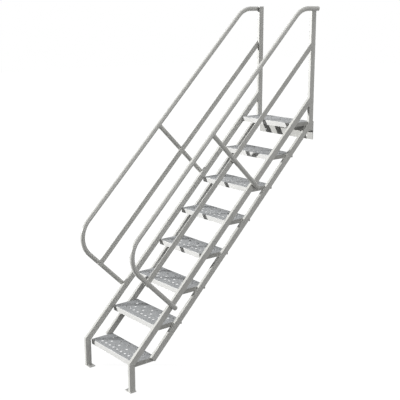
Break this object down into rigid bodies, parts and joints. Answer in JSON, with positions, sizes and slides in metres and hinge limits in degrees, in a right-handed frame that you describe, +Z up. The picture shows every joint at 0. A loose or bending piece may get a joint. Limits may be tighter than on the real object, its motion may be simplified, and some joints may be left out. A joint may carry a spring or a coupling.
{
  "type": "industrial stair",
  "caption": "Straight open industrial stair of perforated treads between twin tube stringers, with a bent tube handrail and a midrail on each side.",
  "frame": {"origin": "centre of the landing plate's rear face, which bolts to the edge of the landing", "axes": "+X up the stair and out of the plate towards the landing, +Y to the left of someone climbing, +Z up"},
  "size_m": [1.9491, 0.7366, 2.8857],
  "materials": {
    "frame_paint": "satin powder coat",
    "tread_paint": "satin powder coat"
  },
  "bodies": {
    "root": {"left_front_stringer": "frame_paint", "left_rear_stringer": "frame_paint", "left_leg": "frame_paint", "left_foot_plate": "frame_paint", "left_top_post": "frame_paint", "left_handrail": "frame_paint", "left_midrail": "frame_paint", "left_rail_strut": "frame_paint", "right_front_stringer": "frame_paint", "right_rear_stringer": "frame_paint", "right_leg": "frame_paint", "right_foot_plate": "frame_paint", "right_top_post": "frame_paint", "right_handrail": "frame_paint", "right_midrail": "frame_paint", "right_rail_strut": "frame_paint", "landing_plate": "frame_paint", "tread_1": "tread_paint", "tread_1_left_end": "frame_paint", "tread_1_right_end": "frame_paint", "tread_2": "tread_paint", "tread_2_left_end": "frame_paint", "tread_2_right_end": "frame_paint", "tread_3": "tread_paint", "tread_3_left_end": "frame_paint", "tread_3_right_end": "frame_paint", "tread_4": "tread_paint", "tread_4_left_end": "frame_paint", "tread_4_right_end": "frame_paint", "tread_5": "tread_paint", "tread_5_left_end": "frame_paint", "tread_5_right_end": "frame_paint", "tread_6": "tread_paint", "tread_6_left_end": "frame_paint", "tread_6_right_end": "frame_paint", "tread_7": "tread_paint", "tread_7_left_end": "frame_paint", "tread_7_right_end": "frame_paint", "tread_8": "tread_paint", "tread_8_left_end": "frame_paint", "tread_8_right_end": "frame_paint"}
  },
  "joints": []
}
